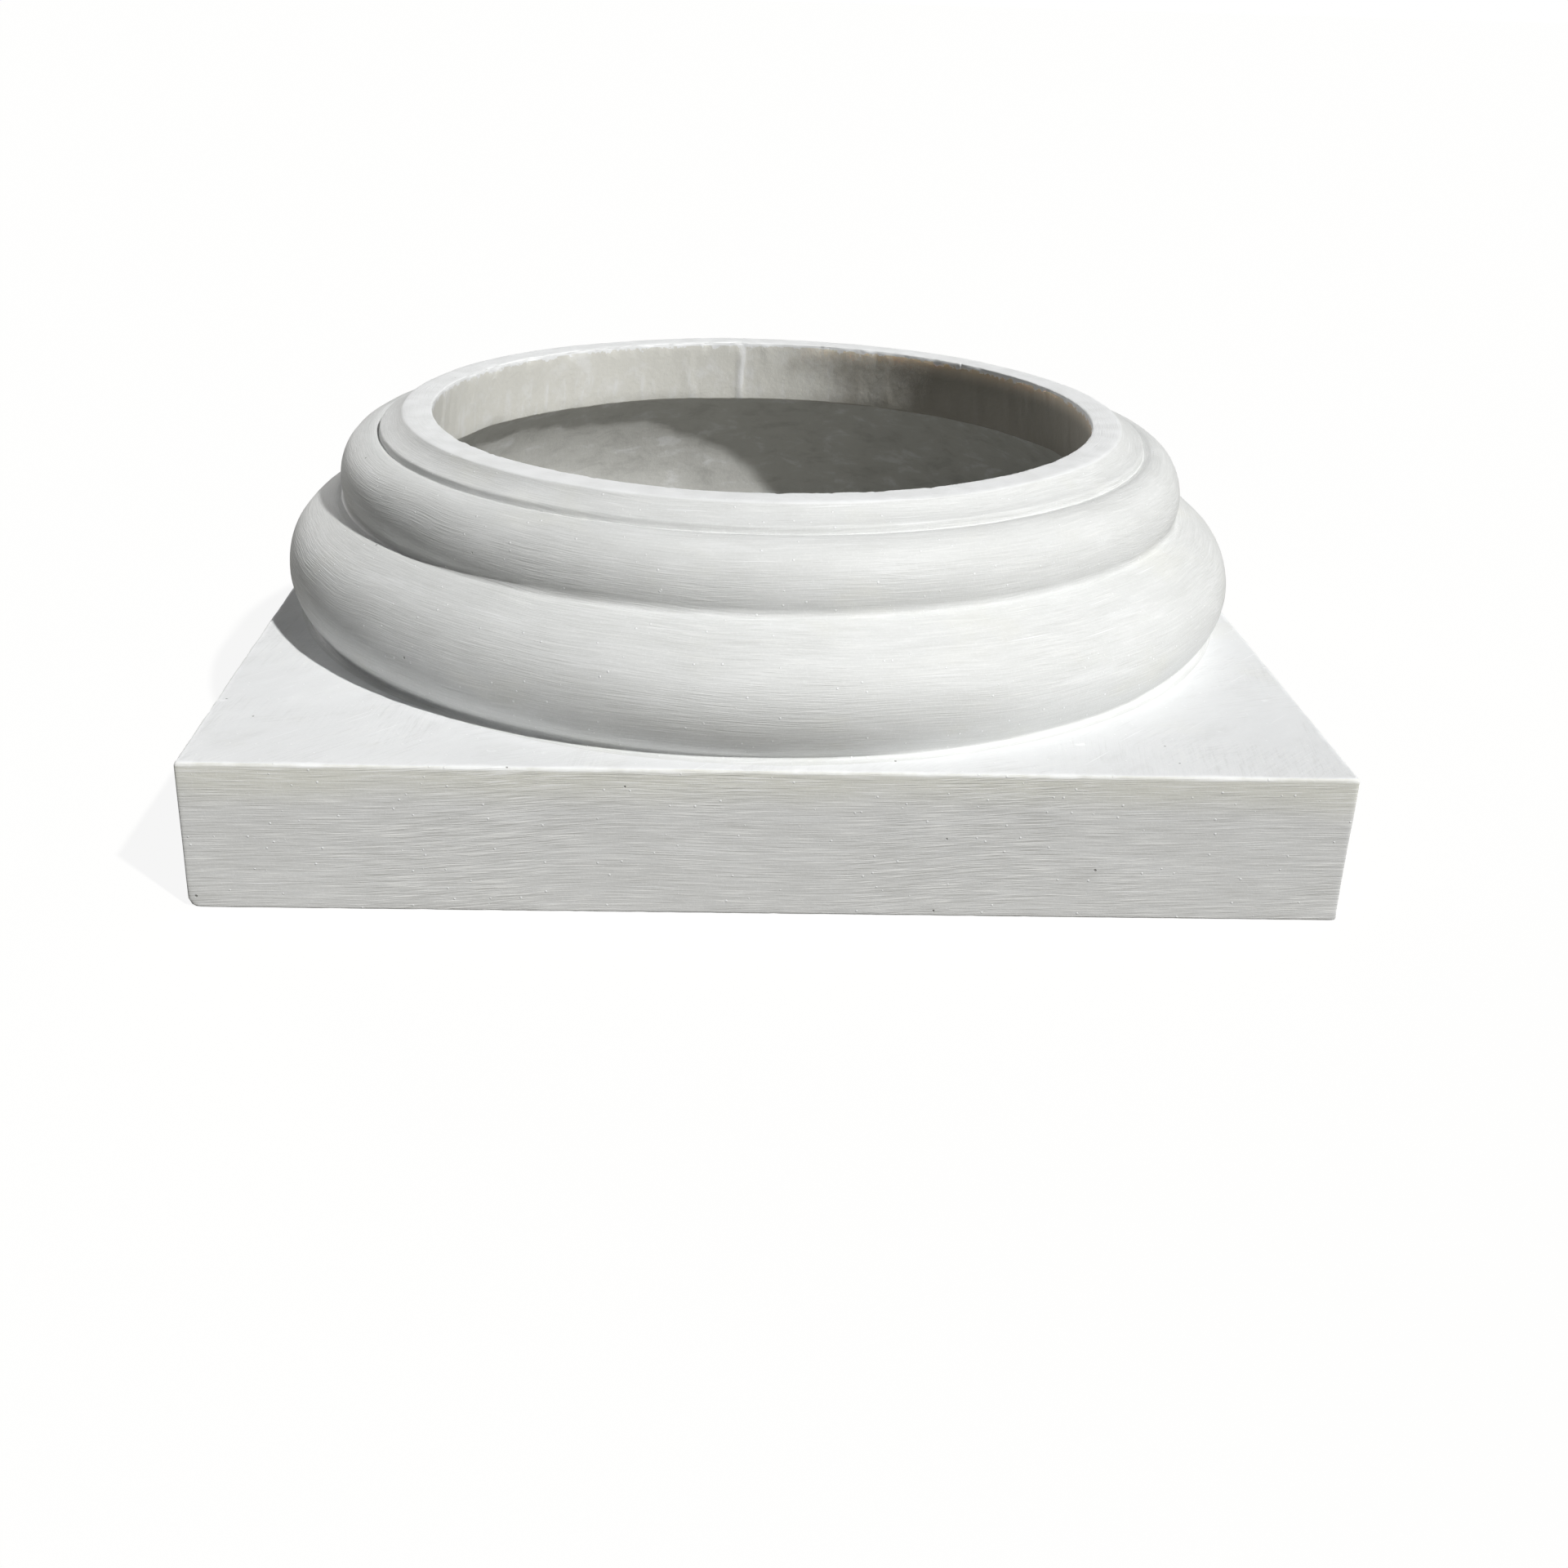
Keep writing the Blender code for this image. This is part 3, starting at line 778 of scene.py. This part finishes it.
def raw_resin(colours, sizes, wear):
    """Resin as it left the mould: cream with pale runs on the collar, brown staining with painted shade and a
    painted glow on the right of its inner wall, grey deep inside.
    """
    material, tree, shader, place = resin_material("marble resin, raw from the mould", 0.5)
    parts = add(tree, "parts", place)
    collar_foot = HEIGHT - sizes.collar_depth
    on_collar = add(tree, "fade", parts[2], collar_foot - 0.5 * MM, collar_foot + 0.5 * MM)
    chalk = colours.chalk
    turn = add(tree, "bearing", parts[1], parts[0])

    blotches = add(tree, "fade", add(tree, "noise", place, 1 / (11 * MM), 4.0, 0.6), 0.48, 0.72)
    cast = add(tree, "blend", add(tree, "times", blotches, 0.4), colours.raw, chalk)
    lower = add(tree, "fade", parts[2], HEIGHT - 14 * MM, HEIGHT - 9 * MM, 1.0, 0.0)
    streaked = add(tree, "mapping", place, (1.0, 1.0, 0.16))
    runs = add(tree, "fade", add(tree, "noise", streaked, 1 / (4.5 * MM), 3.0, 0.6), 0.5, 0.72)
    cast = add(tree, "blend", add(tree, "times", add(tree, "times", runs, lower), 0.45), cast, chalk)

    # On the right of the collar's inner wall, which faces away from the key light, the brown staining carries
    # painted shade low down and a painted glow under the rim.
    patch = add(tree, "minus", add(tree, "noise", place, 1 / (16 * MM), 4.0, 0.6), 0.5)
    reach = add(tree, "times plus", patch, math.radians(45), turn)
    stain_and_painted_light_mask = add(tree, "fade", reach, math.radians(88), math.radians(52), 0.0, 0.85)
    stain_and_painted_light_mask = add(tree, "times", stain_and_painted_light_mask, add(tree, "fade", reach, math.radians(-50), math.radians(-20)))
    # Painted glow and painted shade: the staining turns lighter towards the rim and darker further down.
    upper = add(tree, "fade", parts[2], HEIGHT - 9 * MM, HEIGHT - 1 * MM)
    stain_and_painted_light = add(tree, "blend", upper, colours.painted_shade_low, colours.stain_and_painted_light)
    cast = add(tree, "blend", stain_and_painted_light_mask, cast, stain_and_painted_light)

    seam = add(tree, "fade", seam_gap(tree, turn, streaked), math.radians(0.3), math.radians(1.1), 1.0, 0.0)
    drip = add(tree, "fade", add(tree, "noise", streaked, 1 / (3 * MM), 3.0), 0.35, 0.6, 0.2, 0.75)
    seam = add(tree, "times", seam, drip)
    crumbling = add(tree, "fade", add(tree, "noise", place, 1 / (4 * MM), 4.0, 0.65), 0.42, 0.78)
    fringe = add(tree, "times plus", crumbling, wear.crumbs, 1.3 * MM)
    below_rim = add(tree, "minus", HEIGHT, parts[2])
    crumbs = add(tree, "fade", add(tree, "minus", below_rim, fringe), -0.3 * MM, 0.3 * MM, 1.0, 0.0)
    cast = add(tree, "blend", add(tree, "larger", seam, crumbs), cast, chalk)

    drawn_out = add(tree, "mapping", place, (1.0, 1.0, 2.2))
    mottle = add(tree, "noise", drawn_out, 1 / (15 * MM), 6.0, 0.65, 0.4)
    murky = add(tree, "fade", mottle, 0.5, 0.3, 0.0, 0.2)
    deep = add(tree, "blend", murky, colours.hollow, colours.pinhole)
    deep = add(tree, "blend", add(tree, "fade", mottle, 0.52, 0.7, 0.0, 0.6), deep, chalk)
    tree.links.new(add(tree, "blend", on_collar, deep, cast), shader.inputs["Base Color"])
    # Light that enters at the rim glows a few millimetres down the wall, redder the further it has come.
    translucent = add(tree, "fade", parts[2], HEIGHT - 18 * MM, HEIGHT - 7 * MM, 0.05, 0.95)
    translucent = add(tree, "times", translucent, add(tree, "minus", 1.0, crumbs))
    translucent = add(tree, "times", translucent, add(tree, "fade", stain_and_painted_light_mask, 0.0, 0.6))
    tree.links.new(translucent, shader.inputs["Subsurface Weight"])
    shader.inputs["Subsurface Radius"].default_value = (1.0, 0.9, 0.8)
    shader.inputs["Subsurface Scale"].default_value = 6 * MM
    grit = add(tree, "noise", place, 1 / (2.5 * MM), 5.0, 0.65)
    bump = add(tree, "ShaderNodeBump", {"Height": grit, "Strength": 0.4, "Distance": 0.5 * MM})[0]
    tree.links.new(bump, shader.inputs["Normal"])
    return material


class COLUMNBASE_OT_casting(bpy.types.Operator):
    """Makes the hollow casting and lets it stand for the frame's solid"""

    bl_idname = "columnbase.casting"
    bl_label = "Casting"

    def execute(self, context):
        scene = context.scene
        sizes = scene.column_base_sizes
        wear = scene.column_base_wear
        colours = scene.column_base_colours
        longest = {
            TURNED: 2.6 * MM,
            PLINTH_TOP: 16 * MM,
            PLINTH_SIDE: 7 * MM,
            COLLAR: 2.6 * MM,
            RAW: 9 * MM,
        }
        section = spaced(eased(casting_section(sizes), 3), longest)
        guides = [section_guide(section), turning_guide(wear.segments)]
        tree, ids = casting_tree()

        holder = bpy.data.objects.new("casting holder", bpy.data.meshes.new("casting holder"))
        scene.collection.objects.link(holder)
        shape = holder.modifiers.new("Casting", "NODES")
        shape.node_group = tree
        values = {
            "section": guides[0],
            "turning": guides[1],
            "waviness": wear.waviness,
            "chipping": wear.chipping,
            "drip_height": wear.drip_height,
            "seam_height": wear.seam_height,
            "roughness": wear.roughness,
            "knock": wear.knock,
            "collar_foot": HEIGHT - sizes.collar_depth,
            "turned_resin": sanded_resin(
                "marble resin, sanded round the mouldings",
                colours.sanded,
                colours,
                passes_round_mouldings,
                yellow_patches,
                chalk_and_painted_light_on_rim,
                contrast=0.34,
            ),
            "top_resin": sanded_resin(
                "marble resin, sanded flat",
                colours.top,
                colours,
                passes_on_plinth_top,
                yellow_patches,
                chalk_and_painted_highlight_on_top,
                contrast=0.3,
                relief=0.016,
            ),
            "side_resin": sanded_resin(
                "marble resin, sanded along the plinth",
                colours.side,
                colours,
                passes_along_plinth,
                yellow_under_arris,
                chalk_and_painted_highlight_on_arris,
                contrast=0.95,
            ),
            "raw_resin": raw_resin(colours, sizes, wear),
        }
        for key, value in values.items():
            shape[ids[key]] = value
        holder.modifiers.new("Weighted normals", "WEIGHTED_NORMAL")

        graph = context.evaluated_depsgraph_get()
        mesh = bpy.data.meshes.new_from_object(holder.evaluated_get(graph))
        casting = bpy.data.objects.new("casting", mesh)
        scene.collection.objects.link(casting)
        for helper in (holder, *guides):
            bpy.data.objects.remove(helper, do_unlink=True)
        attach(casting, BODY)
        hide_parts(CASTING_NODE)
        return {"FINISHED"}


class COLUMNBASE_OT_stage(bpy.types.Operator):
    """Makes the pale floor, the soft lights and the camera"""

    bl_idname = "columnbase.stage"
    bl_label = "Stage"

    def execute(self, context):
        scene = context.scene
        add_floor(scene)
        add_lights(scene)
        add_camera(scene)
        scene.view_settings.view_transform = "Standard"
        return {"FINISHED"}


def add_floor(scene):
    """A matt grey floor for the object, which the camera sees nearly white, with a faint shadow on it."""
    reach = 30.0
    glow_strength = 1.55
    glow_share = 0.6
    corners = [(-reach, -reach, 0.0), (reach, -reach, 0.0), (reach, reach, 0.0), (-reach, reach, 0.0)]
    mesh = bpy.data.meshes.new("floor")
    mesh.from_pydata(corners, [], [(0, 1, 2, 3)])
    floor = bpy.data.objects.new("floor", mesh)
    floor.location.z = LOW_CORNER[2]
    material = bpy.data.materials.new("painted studio floor")
    material.use_nodes = True
    tree = material.node_tree
    shader = tree.nodes["Principled BSDF"]
    colours = scene.column_base_colours
    shader.inputs["Base Color"].default_value = colours.floor_bounce
    shader.inputs["Roughness"].default_value = 1.0
    shader.inputs["Specular IOR Level"].default_value = 0.0
    glow = add(tree, "ShaderNodeEmission", {"Color": colours.floor, "Strength": glow_strength})[0]
    pale = add(tree, "ShaderNodeMixShader", glow_share, shader.outputs[0], glow)[0]
    seen = add(tree, "ShaderNodeLightPath")["Is Camera Ray"]
    both = add(tree, "ShaderNodeMixShader", seen, shader.outputs[0], pale)[0]
    tree.links.new(both, tree.nodes["Material Output"].inputs["Surface"])
    mesh.materials.append(material)
    scene.collection.objects.link(floor)


def add_lights(scene):
    """A soft sky that is seen as white, a key light from the front right and a low fill opposite it."""
    world = bpy.data.worlds.new("studio")
    scene.world = world
    world.use_nodes = True
    tree = world.node_tree
    sky = tree.nodes["Background"]
    sky.inputs["Color"].default_value = (0.96, 0.98, 1.0, 1.0)
    sky.inputs["Strength"].default_value = 0.085
    backdrop = add(tree, "ShaderNodeBackground", {"Color": (1.0, 1.0, 1.0, 1.0), "Strength": 1.0})[0]
    seen = add(tree, "ShaderNodeLightPath")["Is Camera Ray"]
    both = add(tree, "ShaderNodeMixShader", seen, sky.outputs[0], backdrop)[0]
    tree.links.new(both, tree.nodes["World Output"].inputs["Surface"])

    add_lamp(scene, "key", azimuth=-46, elevation=46, energy=3.55, breadth=2, tone=(1.0, 1.0, 0.99))
    add_lamp(scene, "fill", azimuth=125, elevation=10, energy=0.85, breadth=20, tone=(1.0, 0.99, 0.97))


def add_lamp(scene, name, azimuth, elevation, energy, breadth, tone):
    """A far lamp that stands in a direction given in degrees and looks as broad as its angle."""
    light = bpy.data.lights.new(name, "SUN")
    light.color = tone
    light.energy = energy
    light.angle = math.radians(breadth)
    lamp = bpy.data.objects.new(name, light)
    source = Vector((
        cos_degrees(elevation) * cos_degrees(azimuth),
        cos_degrees(elevation) * sin_degrees(azimuth),
        sin_degrees(elevation),
    ))
    lamp.rotation_euler = source.to_track_quat("Z", "Y").to_euler()
    lamp.location = source * 2.0
    scene.collection.objects.link(lamp)


def add_camera(scene):
    """The camera stands where the photograph was taken from, with its focal length and its slight tilt."""
    picture = 1920
    focal_pixels = 2147.1
    centre = (920.14, 868.47)
    place = Vector((-0.0672, -1.8403, 0.7488)) * PLINTH_WIDTH
    yaw, pitch, roll = -0.0353, 0.3929, 0.0292
    forward = Vector((-math.sin(yaw) * math.cos(pitch), math.cos(yaw) * math.cos(pitch), -math.sin(pitch)))
    level = Vector((math.cos(yaw), math.sin(yaw), 0.0))
    upright = level.cross(forward)
    right = math.cos(roll) * level + math.sin(roll) * upright
    up = math.cos(roll) * upright - math.sin(roll) * level

    data = bpy.data.cameras.new("camera")
    data.sensor_fit = "HORIZONTAL"
    data.sensor_width = 36.0
    data.lens = focal_pixels / picture * data.sensor_width
    data.shift_x = (picture / 2 - centre[0]) / picture
    data.shift_y = (centre[1] - picture / 2) / picture
    data.clip_start = 0.01
    camera = bpy.data.objects.new("camera", data)
    camera.matrix_world = Matrix.Translation(place) @ Matrix((right, up, -forward)).transposed().to_4x4()
    scene.collection.objects.link(camera)
    scene.camera = camera


class COLUMNBASE_PT_panel(bpy.types.Panel):
    """The column base's sizes, wear and colours, and the buttons that make it"""

    bl_label = "Column base"
    bl_idname = "COLUMNBASE_PT_panel"
    bl_space_type = "VIEW_3D"
    bl_region_type = "UI"
    bl_category = "Column base"

    def draw(self, context):
        for group in GROUPS:
            settings = getattr(context.scene, group)
            box = self.layout.box()
            for name in settings.__annotations__:
                box.prop(settings, name)
        for operator in OPERATORS:
            self.layout.operator(operator.bl_idname)


GROUPS = {
    "column_base_sizes": ColumnBaseSizes,
    "column_base_wear": ColumnBaseWear,
    "column_base_colours": ColumnBaseColours,
}
OPERATORS = (COLUMNBASE_OT_stage, COLUMNBASE_OT_casting)


def register():
    for name, group in GROUPS.items():
        bpy.utils.register_class(group)
        setattr(bpy.types.Scene, name, PointerProperty(type=group))
    for operator in OPERATORS:
        bpy.utils.register_class(operator)
    bpy.utils.register_class(COLUMNBASE_PT_panel)


def unregister():
    bpy.utils.unregister_class(COLUMNBASE_PT_panel)
    for operator in reversed(OPERATORS):
        bpy.utils.unregister_class(operator)
    for name, group in GROUPS.items():
        delattr(bpy.types.Scene, name)
        bpy.utils.unregister_class(group)


def main():
    """Makes the stage and the casting."""
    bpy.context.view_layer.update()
    register()
    bpy.ops.columnbase.stage()
    bpy.ops.columnbase.casting()


if __name__ == "__main__":
    main()
